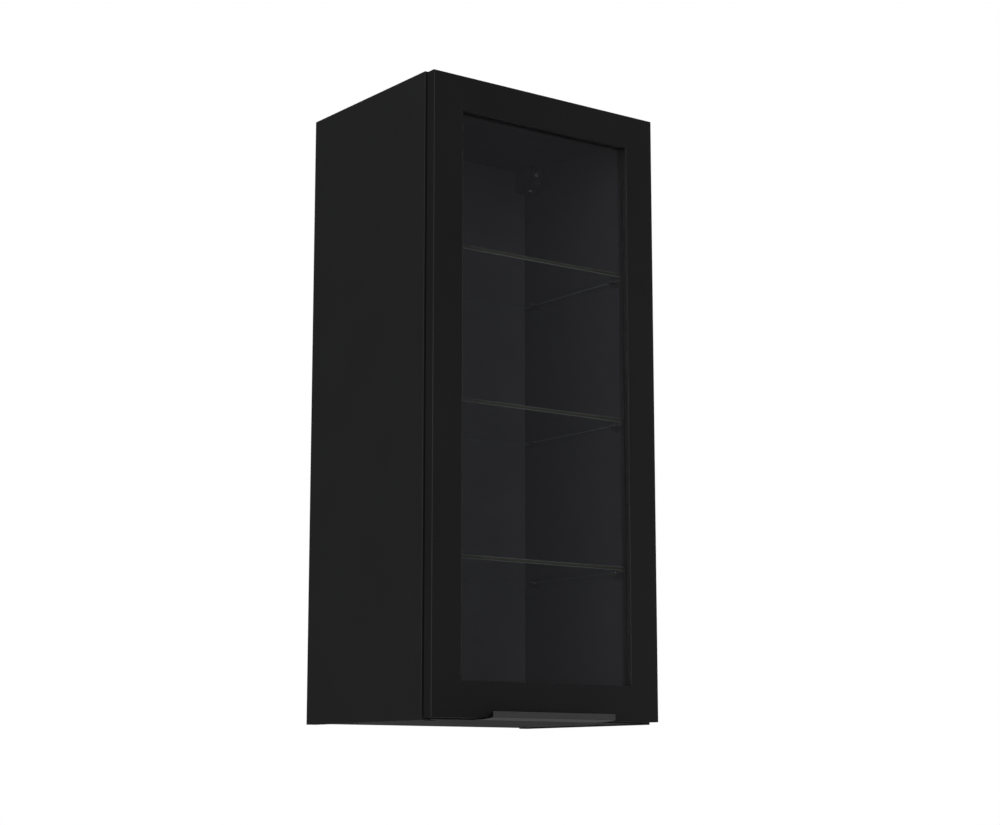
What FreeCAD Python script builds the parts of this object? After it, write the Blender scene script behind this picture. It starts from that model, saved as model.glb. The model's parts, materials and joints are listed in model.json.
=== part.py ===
import os

import FreeCAD
import Part
import Sketcher

# Wall-hung display cabinet with one glazed door, in millimetres.
# Sub-parts are drawn in cabinet coordinates: X from the left outer face to the right, Y from the
# carcass's front edges back to the wall, Z up from the lower edges of the sides. seat() then moves
# each one so that the origin lies on the wall plane, midway between the hangers, at hook height.

doc = FreeCAD.newDocument("DisplayCabinet")

# ---------------------------------------------------------------- driving dimensions

SIZES = {
    # carcass
    "width": 400,
    "height": 900,
    "depth": 289,
    "board": 16,
    "hang_level": 863,
    "bottom_lift": 1.3,
    "edge_round": 0.8,
    "back_thick": 3,
    "back_setback": 11.5,
    "groove_depth": 8,
    "groove_play": 0.1,
    "back_tongue": 7.5,
    # joints between the boards
    "joint_inset": 50,
    "dowel_step": 32,
    "dowel_radius": 4,
    "dowel_half": 10,
    "dowel_long_half": 20,
    "cam_reach": 34,
    "cam_radius": 7.5,
    "cam_depth": 12.5,
    "cam_bolt_radius": 3,
    "bolt_thread_radius": 2.5,
    "bolt_thread_length": 10.5,
    "cap_radius": 8.5,
    "cap_thick": 1.1,
    "bore_play": 0.05,
    "bore_end_play": 0.5,
    "dowel_taper": 1,
    "bolt_collar": 0.8,
    "bolt_collar_thick": 1.2,
    "bolt_neck_radius": 1.6,
    "bolt_neck_play": 1,
    "cam_hollow_radius": 4.2,
    "cam_slot_half": 3.4,
    "cam_roof": 1.7,
    "cam_play": 0.3,
    # glass shelves and their supports
    "shelf_thick": 5,
    "shelf_pitch": 219.3,
    "first_shelf": 222.2,
    "shelf_front": 20,
    "shelf_side_play": 1,
    "shelf_rear_play": 0.5,
    "shelf_bevel": 0.5,
    "peg_radius": 2.5,
    "peg_length": 9,
    "peg_drop": 6.2,
    "peg_front": 50,
    "peg_rear": 245,
    "rest_reach": 10,
    "rest_half": 6,
    "rest_thick": 1.5,
    "pad_thick": 1,
    "pad_inset": 1.5,
    "pad_round": 1.2,
    # cabinet hangers
    "hanger_width": 17.5,
    "hanger_front": 230,
    "hanger_rear_play": 0.5,
    "hanger_low": 848,
    "hanger_wall": 1.8,
    "hanger_round": 14,
    "hanger_hole_radius": 3.1,
    "adjuster_level": 870,
    "adjuster_back": 248,
    "adjuster_length": 13,
    "hook_low": 850,
    "hook_high": 868,
    "hook_bar": 5,
    "hook_inner": 20,
    "hook_outer": 30,
    "slot_play": 2,
    "boss_radius": 4,
    "boss_length": 10,
    "boss_rise": 9,
    "boss_drop": 7,
    "boss_setback": 30,
    "hook_wall_gap": 3,
    "hook_tip_thick": 3,
    "adjuster_head": 1.2,
    "recess_half": 0.5,
    "recess_depth": 1,
    "adjuster_recess": 2.4,
    # door
    "door_gap": 3,
    "door_thick": 18,
    "door_side_reveal": 1.25,
    "door_low_reveal": 3.2,
    "door_top_reveal": 2.3,
    "door_round": 1.5,
    "member": 50,
    "rebate": 8,
    "glass_setback": 8.4,
    "pane_thick": 4,
    "pane_play": 0.5,
    "bead_play": 0.1,
    "mitre_play": 0.05,
    "bead_thick": 5.2,
    "bead_width": 7.8,
    "bead_bevel": 1.2,
    # edge-pull handle
    "handle_left": 84,
    "handle_length": 212,
    "handle_low": 1.5,
    "handle_skin": 1.6,
    "handle_leg_top": 26,
    "handle_leg": 1.2,
    "handle_kink": -25,
    "handle_ramp": -31,
    "handle_nose": -48,
    "handle_nose_low": 3.6,
    "handle_nose_high": 12,
    "handle_bevel": 0.5,
    "handle_screw_inset": 22,
    "handle_screw_level": 16,
    "wood_screw_radius": 1.75,
    "wood_screw_length": 12,
    "wood_screw_head": 3.2,
    "handle_screw_head": 0.9,
    "cup_screw_head": 1.5,
    "wood_screw_recess": 1.7,
    "wood_screw_recess_depth": 0.7,
    "bumper_radius": 4,
    "bumper_thick": 2.7,
    "bumper_inset": 8,
    "bumper_drop": 14,
    # concealed hinges on the left side
    "hinge_inset": 100,
    "cup_offset": 22.5,
    "cup_radius": 17.4,
    "cup_depth": 12.4,
    "cup_wall": 1,
    "cup_play": 0.1,
    "cup_wing_half": 6,
    "cup_wing_round": 5.5,
    "flange_thick": 1.2,
    "flange_radius": 20,
    "cup_screw_offset": 6,
    "cup_screw_half": 24,
    "pivot_x": 30,
    "pivot_y": 6,
    "crank_x": 11.5,
    "crank_y": -11.2,
    "knee_x": 23.75,
    "knee_y": -13.1,
    "link_half": 5,
    "link_thick": 2,
    "eye_radius": 2.8,
    "hinge_pin": 1.5,
    "pin_play": 0.05,
    "arm_pin_half": 8.4,
    "cup_pin_half": 10.5,
    "arm_half": 8,
    "arm_skin": 1.2,
    "arm_top": 34.2,
    "arm_low": 21.5,
    "arm_rear": 68,
    "arm_nose": 3.8,
    "arm_round": 3,
    "plate_front": 24,
    "plate_rear": 62,
    "plate_base": 2,
    "wing_y": 37,
    "wing_half": 26,
    "wing_reach": 7,
    "wing_round": 5,
    "rib_play": 0.1,
    "plate_screw_half": 16,
    "arm_screw_y": 52,
    "plate_screw_radius": 3,
    "plate_screw_length": 12,
    "plate_screw_head": 1.6,
    "arm_screw_depth": 11,
    "arm_screw_head": 1.4,
    "machine_screw_recess": 2.2,
}

sheet = doc.addObject("Spreadsheet::Sheet", "Dims")
for row, (alias, size) in enumerate(SIZES.items(), 1):
    sheet.set(f"A{row}", alias)
    sheet.set(f"B{row}", str(size))
    sheet.setAlias(f"B{row}", alias)
doc.recompute()

NODES = []


def turn_about(x, y, z, angle):
    return FreeCAD.Rotation(FreeCAD.Vector(x, y, z), angle)


AS_DRAWN = FreeCAD.Rotation()
ALONG_X = turn_about(0, 1, 0, 90)
AGAINST_X = turn_about(0, 1, 0, -90)
UPSIDE_DOWN = turn_about(1, 0, 0, 180)
FACING_LEFT = turn_about(0, 0, 1, 180)
INTO_BACK = turn_about(1, 0, 0, -90)


# ---------------------------------------------------------------- drawing helpers

def size_of(expression):
    """The present value, in millimetres, of an expression over the sheet."""
    return float(sheet.evalExpression(expression))


def seat(thing, across="0", back="0", up="0"):
    """Bind a sub-part's Placement to the sheet and list it as a node."""
    thing.setExpression("Placement.Base.x", f"{across} - Dims.width / 2")
    thing.setExpression("Placement.Base.y", f"{back} - Dims.depth")
    thing.setExpression("Placement.Base.z", f"{up} - Dims.hang_level")
    NODES.append(thing)
    return thing


def new_body(label):
    body = doc.addObject("PartDesign::Body", label)
    body.Label = label
    return body


def sketch_on(body, role, level="0"):
    """A sketch on the body's own origin plane, raised by level along the plane's normal."""
    sketch = body.newObject("Sketcher::SketchObject", "Sketch")
    plane = next(f for f in body.Origin.OriginFeatures if f.Role == role)
    sketch.AttachmentSupport = [(plane, "")]
    sketch.MapMode = "FlatFace"
    sketch.setExpression("AttachmentOffset.Base.z", level)
    return sketch


def pin_down(sketch, geometry, point, u, v):
    """Hold one point of a sketch at the expressions u and v."""
    for kind, axis, value in (("DistanceX", -2, u), ("DistanceY", -1, v)):
        amount = size_of(value)
        if abs(amount) < 1e-9:
            sketch.addConstraint(Sketcher.Constraint("PointOnObject", geometry, point, axis))
            continue
        index = sketch.addConstraint(
            Sketcher.Constraint(kind, -1, 1, geometry, point, amount))
        sketch.setExpression(f"Constraints[{index}]", value)


def outline(sketch, corners):
    """A closed outline of straight lines through corners, each a pair of expressions."""
    spots = [FreeCAD.Vector(size_of(u), size_of(v), 0) for u, v in corners]
    count = len(spots)
    first = sketch.GeometryCount
    for i in range(count):
        sketch.addGeometry(Part.LineSegment(spots[i], spots[(i + 1) % count]), False)
    for i in range(count):
        after = first + (i + 1) % count
        sketch.addConstraint(Sketcher.Constraint("Coincident", first + i, 2, after, 1))
    for i, (u, v) in enumerate(corners):
        pin_down(sketch, first + i, 1, u, v)


def rectangle(sketch, u0, u1, v0, v1):
    outline(sketch, [(u0, v0), (u1, v0), (u1, v1), (u0, v1)])


def circle(sketch, u, v, radius):
    centre = FreeCAD.Vector(size_of(u), size_of(v), 0)
    amount = size_of(radius)
    index = sketch.addGeometry(Part.Circle(centre, FreeCAD.Vector(0, 0, 1), amount), False)
    pin_down(sketch, index, 3, u, v)
    datum = sketch.addConstraint(Sketcher.Constraint("Radius", index, amount))
    sketch.setExpression(f"Constraints[{datum}]", radius)


def pad(body, sketch, length, backwards=False):
    feature = body.newObject("PartDesign::Pad", "Pad")
    feature.Profile = sketch
    feature.setExpression("Length", length)
    feature.Reversed = backwards
    doc.recompute()
    return feature


def pocket(body, sketch, length, backwards=False):
    """Cut against the sketch's normal, or along it when backwards. It must remove material."""
    before = body.Shape.Volume
    feature = body.newObject("PartDesign::Pocket", "Pocket")
    feature.Profile = sketch
    feature.setExpression("Length", length)
    feature.Reversed = backwards
    doc.recompute()
    if body.Shape.Volume > before - 1e-3:
        raise RuntimeError(f"a pocket in {body.Label} cuts nothing")
    return feature


def spin(body, sketch):
    """Revolve a sketch about its own vertical axis."""
    feature = body.newObject("PartDesign::Revolution", "Revolution")
    feature.Profile = sketch
    feature.ReferenceAxis = (sketch, ["V_Axis"])
    feature.Angle = 360
    doc.recompute()
    return feature


def dress(body, kind, wanted, size):
    """Fillet or chamfer the edges of the body's tip for which wanted(edge) is true."""
    base = body.Tip
    names = [f"Edge{i}" for i, edge in enumerate(base.Shape.Edges, 1) if wanted(edge)]
    if not names:
        raise RuntimeError(f"no edge of {body.Label} matches")
    feature = body.newObject(f"PartDesign::{kind}", kind)
    feature.Base = (base, names)
    feature.setExpression("Radius" if kind == "Fillet" else "Size", size)
    doc.recompute()
    return feature


def runs_along(edge, axis):
    """True if a straight edge is parallel to axis, one of x, y and z."""
    ends = [vertex.Point for vertex in edge.Vertexes]
    if len(ends) < 2 or edge.Curve.TypeId != "Part::GeomLine":
        return False
    run = (ends[1] - ends[0]).normalize()
    return abs(getattr(run, axis)) > 0.999


def at(edge, axis, value):
    """True if all of an edge lies at one value of a coordinate."""
    box = edge.BoundBox
    low = getattr(box, f"{axis.upper()}Min")
    high = getattr(box, f"{axis.upper()}Max")
    return abs(low - value) < 1e-3 and abs(high - value) < 1e-3


def group(label, master, spots, turns=(AS_DRAWN,)):
    """Separate copies of one piece as one node, at places given as expressions.

    The copies take the turns in order, starting again when they run out.
    """
    copies = []
    for x, y, z in spots:
        copy = doc.addObject("App::Link", f"{label}_copy")
        copy.LinkedObject = master
        copy.setExpression("Placement.Base.x", x)
        copy.setExpression("Placement.Base.y", y)
        copy.setExpression("Placement.Base.z", z)
        copy.Placement.Rotation = turns[len(copies) % len(turns)]
        copies.append(copy)
    together = doc.addObject("Part::Compound", label)
    together.Label = label
    together.Links = copies
    doc.recompute()
    return together


def mirrored(label, source):
    """The other hand of a sub-part, mirrored across the cabinet's middle."""
    other = doc.addObject("Part::Mirroring", label)
    other.Label = label
    other.Source = source
    other.Normal = FreeCAD.Vector(1, 0, 0)
    other.setExpression("Base.x", "Dims.width / 2")
    doc.recompute()
    return other


# ---------------------------------------------------------------- places that several parts share

TOP_BOARD = "(Dims.height - Dims.board)"
BOTTOM_BOARD = "Dims.bottom_lift"
JOINT_LEVELS = ("(Dims.height - Dims.board / 2)", "(Dims.bottom_lift + Dims.board / 2)")
BOLT_ROWS = ("Dims.joint_inset", "(Dims.depth - Dims.joint_inset)")
DOWEL_ROWS = (
    "(Dims.joint_inset + Dims.dowel_step)",
    "(Dims.depth - Dims.joint_inset - Dims.dowel_step)",
)
BACK_REAR = "(Dims.depth - Dims.back_setback)"
BACK_FRONT = "(Dims.depth - Dims.back_setback - Dims.back_thick)"
SHELVES = {
    "lower": "Dims.first_shelf",
    "middle": "(Dims.first_shelf + Dims.shelf_pitch)",
    "upper": "(Dims.first_shelf + 2 * Dims.shelf_pitch)",
}
DOOR_LEFT = "Dims.door_side_reveal"
DOOR_RIGHT = "(Dims.width - Dims.door_side_reveal)"
DOOR_LOW = "Dims.door_low_reveal"
DOOR_HIGH = "(Dims.height - Dims.door_top_reveal)"
DOOR_BACK = "-Dims.door_gap"
DOOR_FRONT = "(-Dims.door_gap - Dims.door_thick)"
HINGES = {
    "upper": f"({DOOR_HIGH} - Dims.hinge_inset)",
    "lower": f"({DOOR_LOW} + Dims.hinge_inset)",
}
CUP_X = f"({DOOR_LEFT} + Dims.cup_offset)"
HANGER_BOSSES = ("(Dims.hanger_low + Dims.boss_rise)",
                 "(Dims.height - Dims.board - Dims.boss_drop)")
BOSS_Y = "(Dims.hanger_front + Dims.boss_setback)"
CAM_COLUMNS = (
    "(Dims.board + Dims.cam_reach)",
    "(Dims.width - Dims.board - Dims.cam_reach)",
)


# ---------------------------------------------------------------- carcass boards

def front_edges(edge):
    """The long edges round a board's front edge band."""
    return at(edge, "y", 0) and not runs_along(edge, "y") and edge.Length > 100


def side_panel(label, hinged):
    """A side board drawn on the left: bores and the back's groove on its inner face."""
    body = new_body(label)
    blank = sketch_on(body, "YZ_Plane")
    rectangle(blank, "0", "Dims.depth", "0", "Dims.height")
    pad(body, blank, "Dims.board")
    dress(body, "Fillet", front_edges, "Dims.edge_round")

    groove = sketch_on(body, "YZ_Plane", "Dims.board")
    rectangle(groove, f"{BACK_FRONT} - Dims.groove_play", f"{BACK_REAR} + Dims.groove_play",
              "0", "Dims.height")
    pocket(body, groove, "Dims.groove_depth")

    dowels = sketch_on(body, "YZ_Plane", "Dims.board")
    bolts = sketch_on(body, "YZ_Plane", "Dims.board")
    for level in JOINT_LEVELS:
        for row in DOWEL_ROWS:
            circle(dowels, row, level, "Dims.dowel_radius + Dims.bore_play")
        for row in BOLT_ROWS:
            circle(bolts, row, level, "Dims.bolt_thread_radius + Dims.bore_play")
    pocket(body, dowels, "Dims.dowel_half + Dims.bore_end_play")
    pocket(body, bolts, "Dims.bolt_thread_length + Dims.bore_end_play")

    pegs = sketch_on(body, "YZ_Plane", "Dims.board")
    for level in SHELVES.values():
        for row in ("Dims.peg_front", "Dims.peg_rear"):
            circle(pegs, row, f"{level} - Dims.peg_drop", "Dims.peg_radius + Dims.bore_play")
    pocket(body, pegs, "Dims.peg_length + Dims.bore_end_play")

    bosses = sketch_on(body, "YZ_Plane", "Dims.board")
    for level in HANGER_BOSSES:
        circle(bosses, BOSS_Y, level, "Dims.boss_radius + Dims.bore_play")
    pocket(body, bosses, "Dims.boss_length + Dims.bore_end_play")

    if hinged:
        plates = sketch_on(body, "YZ_Plane", "Dims.board")
        for level in HINGES.values():
            for sign in ("-", "+"):
                circle(plates, "Dims.wing_y", f"{level} {sign} Dims.plate_screw_half",
                       "Dims.plate_screw_radius + Dims.bore_play")
        pocket(body, plates, "Dims.plate_screw_length + Dims.bore_end_play")
    return body


def cross_board(label, low, cams_up):
    """The top or bottom board, between the sides. Its cams are bored from the outer face."""
    body = new_body(label)
    high = f"({low} + Dims.board)"
    outer, inner = (high, low) if cams_up else (low, high)
    blank = sketch_on(body, "XY_Plane", low)
    rectangle(blank, "Dims.board", "Dims.width - Dims.board", "0", "Dims.depth")
    pad(body, blank, "Dims.board")
    dress(body, "Fillet", front_edges, "Dims.edge_round")

    groove = sketch_on(body, "XY_Plane", inner)
    rectangle(groove, "Dims.board", "Dims.width - Dims.board",
              f"{BACK_FRONT} - Dims.groove_play", f"{BACK_REAR} + Dims.groove_play")
    pocket(body, groove, "Dims.groove_depth", backwards=cams_up)

    cams = sketch_on(body, "XY_Plane", outer)
    for x in CAM_COLUMNS:
        for row in BOLT_ROWS:
            circle(cams, x, row, "Dims.cam_radius + Dims.bore_play")
    pocket(body, cams, "Dims.cam_depth", backwards=not cams_up)

    middle = f"{low} + Dims.board / 2"
    for end, inward in (("Dims.board", True), ("(Dims.width - Dims.board)", False)):
        dowels = sketch_on(body, "YZ_Plane", end)
        bolts = sketch_on(body, "YZ_Plane", end)
        for row in DOWEL_ROWS:
            circle(dowels, row, middle, "Dims.dowel_radius + Dims.bore_play")
        for row in BOLT_ROWS:
            circle(bolts, row, middle, "Dims.cam_bolt_radius + Dims.bolt_neck_play")
        pocket(body, dowels, "Dims.dowel_long_half + Dims.bore_end_play", backwards=inward)
        pocket(body, bolts, "Dims.cam_reach", backwards=inward)
    return body


def back_panel():
    """The thin back, held in grooves all round, with a slot for each hanger's hook."""
    body = new_body("back_panel")
    blank = sketch_on(body, "XZ_Plane", f"-{BACK_REAR}")
    rectangle(blank, "Dims.board - Dims.back_tongue",
              "Dims.width - Dims.board + Dims.back_tongue",
              f"{BOTTOM_BOARD} + Dims.board - Dims.back_tongue",
              f"{TOP_BOARD} + Dims.back_tongue")
    pad(body, blank, "Dims.back_thick")
    slots = sketch_on(body, "XZ_Plane", f"-{BACK_FRONT}")
    low = "Dims.hook_low - Dims.slot_play"
    high = "Dims.hook_high + Dims.slot_play"
    near = "Dims.hook_inner - Dims.slot_play"
    far = "Dims.hook_outer + Dims.slot_play"
    rectangle(slots, near, far, low, high)
    rectangle(slots, f"Dims.width - ({far})", f"Dims.width - ({near})", low, high)
    pocket(body, slots, "Dims.back_thick")
    return body


# ---------------------------------------------------------------- joints between the boards

def turned_piece(label, profile):
    """A round piece about Z, from its half section as (radius, height) expressions."""
    body = new_body(label)
    section = sketch_on(body, "XZ_Plane")
    outline(section, profile)
    spin(body, section)
    return body


def cross_recess(body, level, reach, depth, backwards=False):
    """A cross for the driver, cut into a screw's head."""
    cross = sketch_on(body, "XY_Plane", level)
    near, far = "Dims.recess_half", reach
    outline(cross, [
        (f"-{near}", f"-{far}"), (near, f"-{far}"), (near, f"-{near}"), (far, f"-{near}"),
        (far, near), (near, near), (near, far), (f"-{near}", far), (f"-{near}", near),
        (f"-{far}", near), (f"-{far}", f"-{near}"), (f"-{near}", f"-{near}")])
    pocket(body, cross, depth, backwards)


def joint_spots(rows, x_left, x_right):
    """One place for each row of each joint between a side and a cross board."""
    return [(x, row, level) for level in JOINT_LEVELS for row in rows for x in (x_left, x_right)]


def wood_dowels():
    length = "(Dims.dowel_half + Dims.dowel_long_half)"
    taper = "Dims.dowel_taper"
    master = turned_piece("dowel_master", [
        ("0", "0"), (f"Dims.dowel_radius - {taper}", "0"), ("Dims.dowel_radius", taper),
        ("Dims.dowel_radius", f"{length} - {taper}"), (f"Dims.dowel_radius - {taper}", length),
        ("0", length)])
    left = "Dims.board - Dims.dowel_half"
    right = "Dims.width - Dims.board - Dims.dowel_long_half"
    return group("wood_dowels", master, joint_spots(DOWEL_ROWS, left, right), (ALONG_X,))


def cam_bolts():
    """Threaded into the side, with a thin neck and a round head that the cam draws in."""
    reach = "(Dims.bolt_thread_length + Dims.cam_reach)"
    collar_end = "Dims.bolt_thread_length + Dims.bolt_collar_thick"
    master = turned_piece("cam_bolt_master", [
        ("0", "0"),
        ("Dims.bolt_thread_radius", "0"),
        ("Dims.bolt_thread_radius", "Dims.bolt_thread_length"),
        ("Dims.cam_bolt_radius + Dims.bolt_collar", "Dims.bolt_thread_length"),
        ("Dims.cam_bolt_radius + Dims.bolt_collar", collar_end),
        ("Dims.cam_bolt_radius", collar_end),
        ("Dims.cam_bolt_radius", f"{reach} - Dims.cam_radius - 1"),
        ("Dims.bolt_neck_radius", f"{reach} - Dims.cam_radius"),
        ("Dims.bolt_neck_radius", f"{reach} - 3"),
        ("Dims.cam_bolt_radius", f"{reach} - 2"),
        ("Dims.cam_bolt_radius", f"{reach} + 1"),
        ("0", f"{reach} + 1")])
    left = "Dims.board - Dims.bolt_thread_length"
    right = "Dims.width - Dims.board + Dims.bolt_thread_length"
    return group("cam_bolts", master, joint_spots(BOLT_ROWS, left, right), (ALONG_X, AGAINST_X))


def cam_locks():
    """Cylinders with a hollow middle for the bolt's head and a way in for its neck."""
    roof_top = "(Dims.cam_depth - Dims.cam_play)"
    roof_low = f"({roof_top} - Dims.cam_roof)"
    master = turned_piece("cam_master", [
        ("Dims.cam_hollow_radius", "0"),
        ("Dims.cam_radius", "0"),
        ("Dims.cam_radius", roof_top),
        ("0", roof_top),
        ("0", roof_low),
        ("Dims.cam_hollow_radius", roof_low)])
    slot = sketch_on(master, "XY_Plane", "0")
    rectangle(slot, "-(Dims.cam_radius + 1)", "Dims.cam_radius + 1",
              "-Dims.cam_slot_half", "Dims.cam_slot_half")
    pocket(master, slot, roof_low, backwards=True)
    levels = ("(Dims.height - Dims.cam_depth)", f"({BOTTOM_BOARD} + Dims.cam_depth)")
    spots = [(x, row, level) for level in levels for row in BOLT_ROWS for x in CAM_COLUMNS]
    # the closed ends face up in the top board and down in the bottom board
    each = len(spots) // len(levels)
    return group("cam_locks", master, spots, (AS_DRAWN,) * each + (UPSIDE_DOWN,) * each)


def cam_covers():
    """Push-in caps under the bottom board, where its cams would otherwise show."""
    master = turned_piece("cap_master", [
        ("0", "0.2"), ("1.4", "0"), ("Dims.cap_radius - 0.8", "0"),
        ("Dims.cap_radius", "Dims.cap_thick - 0.3"), ("Dims.cap_radius", "Dims.cap_thick"),
        ("0", "Dims.cap_thick")])
    spots = [(x, row, f"{BOTTOM_BOARD} - Dims.cap_thick") for row in BOLT_ROWS for x in CAM_COLUMNS]
    return group("cam_covers", master, spots)


# ---------------------------------------------------------------- glass shelves

def glass_shelf(label, level):
    body = new_body(label)
    blank = sketch_on(body, "XY_Plane", level)
    rectangle(blank, "Dims.board + Dims.shelf_side_play",
              "Dims.width - Dims.board - Dims.shelf_side_play",
              "Dims.shelf_front", f"{BACK_FRONT} - Dims.shelf_rear_play")
    pad(body, blank, "Dims.shelf_thick")
    dress(body, "Chamfer", lambda edge: not runs_along(edge, "z"), "Dims.shelf_bevel")
    return body


def shelf_spots():
    """Four places under each shelf, on the sides' inner faces, left and right in turn."""
    return [(x, row, level)
            for level in SHELVES.values()
            for row in ("Dims.peg_front", "Dims.peg_rear")
            for x in ("Dims.board", "(Dims.width - Dims.board)")]


def shelf_supports():
    """A peg in the side, with a small angle bracket that the glass rests on."""
    master = new_body("support_master")
    rest_top = "-Dims.pad_thick"
    rest_low = "(-Dims.pad_thick - Dims.rest_thick)"
    bracket = sketch_on(master, "XZ_Plane", "-Dims.rest_half")
    outline(bracket, [
        ("0", "-Dims.peg_drop - 3.4"), ("Dims.rest_thick", "-Dims.peg_drop - 3.4"),
        ("Dims.rest_thick", rest_low), ("Dims.rest_reach", rest_low),
        ("Dims.rest_reach", rest_top), ("0", rest_top)])
    pad(master, bracket, "2 * Dims.rest_half")
    dress(master, "Fillet",
          lambda edge: runs_along(edge, "z") and edge.BoundBox.XMin > 5, "Dims.rest_half / 3")
    peg = sketch_on(master, "YZ_Plane")
    circle(peg, "0", "-Dims.peg_drop", "Dims.peg_radius")
    pad(master, peg, "Dims.peg_length", backwards=True)
    return group("shelf_supports", master, shelf_spots(), (AS_DRAWN, FACING_LEFT))


def shelf_pads():
    """Soft clear pads between the brackets and the glass."""
    master = new_body("pad_master")
    blank = sketch_on(master, "XY_Plane", "-Dims.pad_thick")
    half = "(Dims.rest_half - Dims.pad_inset)"
    rectangle(blank, "2", "Dims.rest_reach - 1", f"-{half}", half)
    pad(master, blank, "Dims.pad_thick")
    dress(master, "Fillet", lambda edge: runs_along(edge, "z"), "Dims.pad_round")
    return group("shelf_pads", master, shelf_spots(), (AS_DRAWN, FACING_LEFT))


# ---------------------------------------------------------------- cabinet hangers

HANGER_TOP = f"({TOP_BOARD} - 0.5)"
HANGER_REAR = f"({BACK_FRONT} - Dims.hanger_rear_play)"
HANGER_MIDDLE = "(Dims.board + Dims.hanger_width / 2)"


def hanger_housing(label):
    """A moulded case drawn on the left: open to the side board, with two bosses into it."""
    body = new_body(label)
    blank = sketch_on(body, "YZ_Plane", "Dims.board")
    rectangle(blank, "Dims.hanger_front", HANGER_REAR, "Dims.hanger_low", HANGER_TOP)
    pad(body, blank, "Dims.hanger_width")
    front = size_of("Dims.hanger_front")
    low = size_of("Dims.hanger_low")
    dress(body, "Fillet", lambda edge: at(edge, "y", front) and at(edge, "z", low),
          "Dims.hanger_round")

    hollow = sketch_on(body, "YZ_Plane", "Dims.board")
    inner_front = "(Dims.hanger_front + Dims.hanger_wall)"
    inner_low = "(Dims.hanger_low + Dims.hanger_wall)"
    cut = "(Dims.hanger_round * 0.6)"
    outline(hollow, [
        (inner_front, f"{inner_low} + {cut}"),
        (f"{inner_front} + {cut}", inner_low),
        (f"{HANGER_REAR} - Dims.hanger_wall", inner_low),
        (f"{HANGER_REAR} - Dims.hanger_wall", f"{HANGER_TOP} - Dims.hanger_wall"),
        (inner_front, f"{HANGER_TOP} - Dims.hanger_wall")])
    pocket(body, hollow, "Dims.hanger_width - Dims.hanger_wall", backwards=True)

    way_out = sketch_on(body, "XZ_Plane", f"-{HANGER_REAR}")
    rectangle(way_out, "Dims.hook_inner - 0.5", "Dims.hook_outer + 0.5",
              "Dims.hook_low + 3", "Dims.hook_high + 4")
    pocket(body, way_out, "Dims.hanger_wall", backwards=True)

    front_hole = sketch_on(body, "XZ_Plane", "-Dims.hanger_front")
    circle(front_hole, HANGER_MIDDLE, "Dims.adjuster_level", "Dims.hanger_hole_radius")
    pocket(body, front_hole, "Dims.hanger_wall")
    low_hole = sketch_on(body, "XY_Plane", "Dims.hanger_low")
    circle(low_hole, HANGER_MIDDLE, "Dims.adjuster_back", "Dims.hanger_hole_radius")
    pocket(body, low_hole, "Dims.hanger_wall", backwards=True)

    bosses = sketch_on(body, "YZ_Plane", "Dims.board + Dims.hanger_width - Dims.hanger_wall")
    for level in HANGER_BOSSES:
        circle(bosses, BOSS_Y, level, "Dims.boss_radius")
    pad(body, bosses, "Dims.boss_length + Dims.hanger_width - Dims.hanger_wall", backwards=True)
    return body


def hanger_hook(label):
    """A flat steel bar out through the back, turned down behind it over the wall rail."""
    body = new_body(label)
    tip = "(Dims.depth - Dims.hook_wall_gap)"
    tip_front = f"({tip} - Dims.hook_tip_thick)"
    bar_low = "(Dims.hook_high - Dims.hook_bar)"
    inner_end = "(Dims.adjuster_back + 16)"
    profile = sketch_on(body, "YZ_Plane", "Dims.hook_inner")
    outline(profile, [
        (inner_end, bar_low), (tip_front, bar_low), (tip_front, "Dims.hook_low"),
        (tip, "Dims.hook_low"), (tip, "Dims.hook_high"), (inner_end, "Dims.hook_high")])
    pad(body, profile, "Dims.hook_outer - Dims.hook_inner")
    return body


def hanger_screws():
    """Each hanger's two cross-head adjusting screws: one faces forwards, one downwards."""
    head = "Dims.adjuster_head"
    master = turned_piece("adjuster_master", [
        ("0", f"-{head}"), ("3.6", f"-{head}"), ("4.2", "-0.6"), ("4.2", "0"), ("3", "0"),
        ("3", "Dims.adjuster_length - 1"), ("2", "Dims.adjuster_length"),
        ("0", "Dims.adjuster_length")])
    cross_recess(master, f"-{head}", "Dims.adjuster_recess", "Dims.recess_depth", backwards=True)
    spots = []
    for x in (HANGER_MIDDLE, f"(Dims.width - {HANGER_MIDDLE})"):
        spots.append((x, "Dims.hanger_front", "Dims.adjuster_level"))
        spots.append((x, "Dims.adjuster_back", "Dims.hanger_low"))
    return group("hanger_screws", master, spots, (INTO_BACK, AS_DRAWN))


# ---------------------------------------------------------------- concealed hinges

def strap(x0, y0, x1, y1):
    """A flat bar of the link's thickness and width, centred on the line between two points."""
    angle = f"atan2({y1} - {y0}; {x1} - {x0})"
    bar = doc.addObject("Part::Box", "Strap")
    bar.setExpression("Length", f"sqrt(({x1} - {x0})^2 + ({y1} - {y0})^2)")
    bar.setExpression("Width", "Dims.link_thick")
    bar.setExpression("Height", "2 * Dims.link_half")
    bar.setExpression("Placement.Rotation.Angle", angle)
    bar.setExpression("Placement.Base.x", f"{x0} + Dims.link_thick / 2 * sin({angle})")
    bar.setExpression("Placement.Base.y", f"{y0} - Dims.link_thick / 2 * cos({angle})")
    bar.setExpression("Placement.Base.z", "-Dims.link_half")
    return bar


def barrel(x, y, radius):
    """A round bar of the link's width along Z."""
    rod = doc.addObject("Part::Cylinder", "Barrel")
    rod.setExpression("Radius", radius)
    rod.setExpression("Height", "2 * Dims.link_half")
    rod.setExpression("Placement.Base.x", x)
    rod.setExpression("Placement.Base.y", y)
    rod.setExpression("Placement.Base.z", "-Dims.link_half")
    return rod


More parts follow.
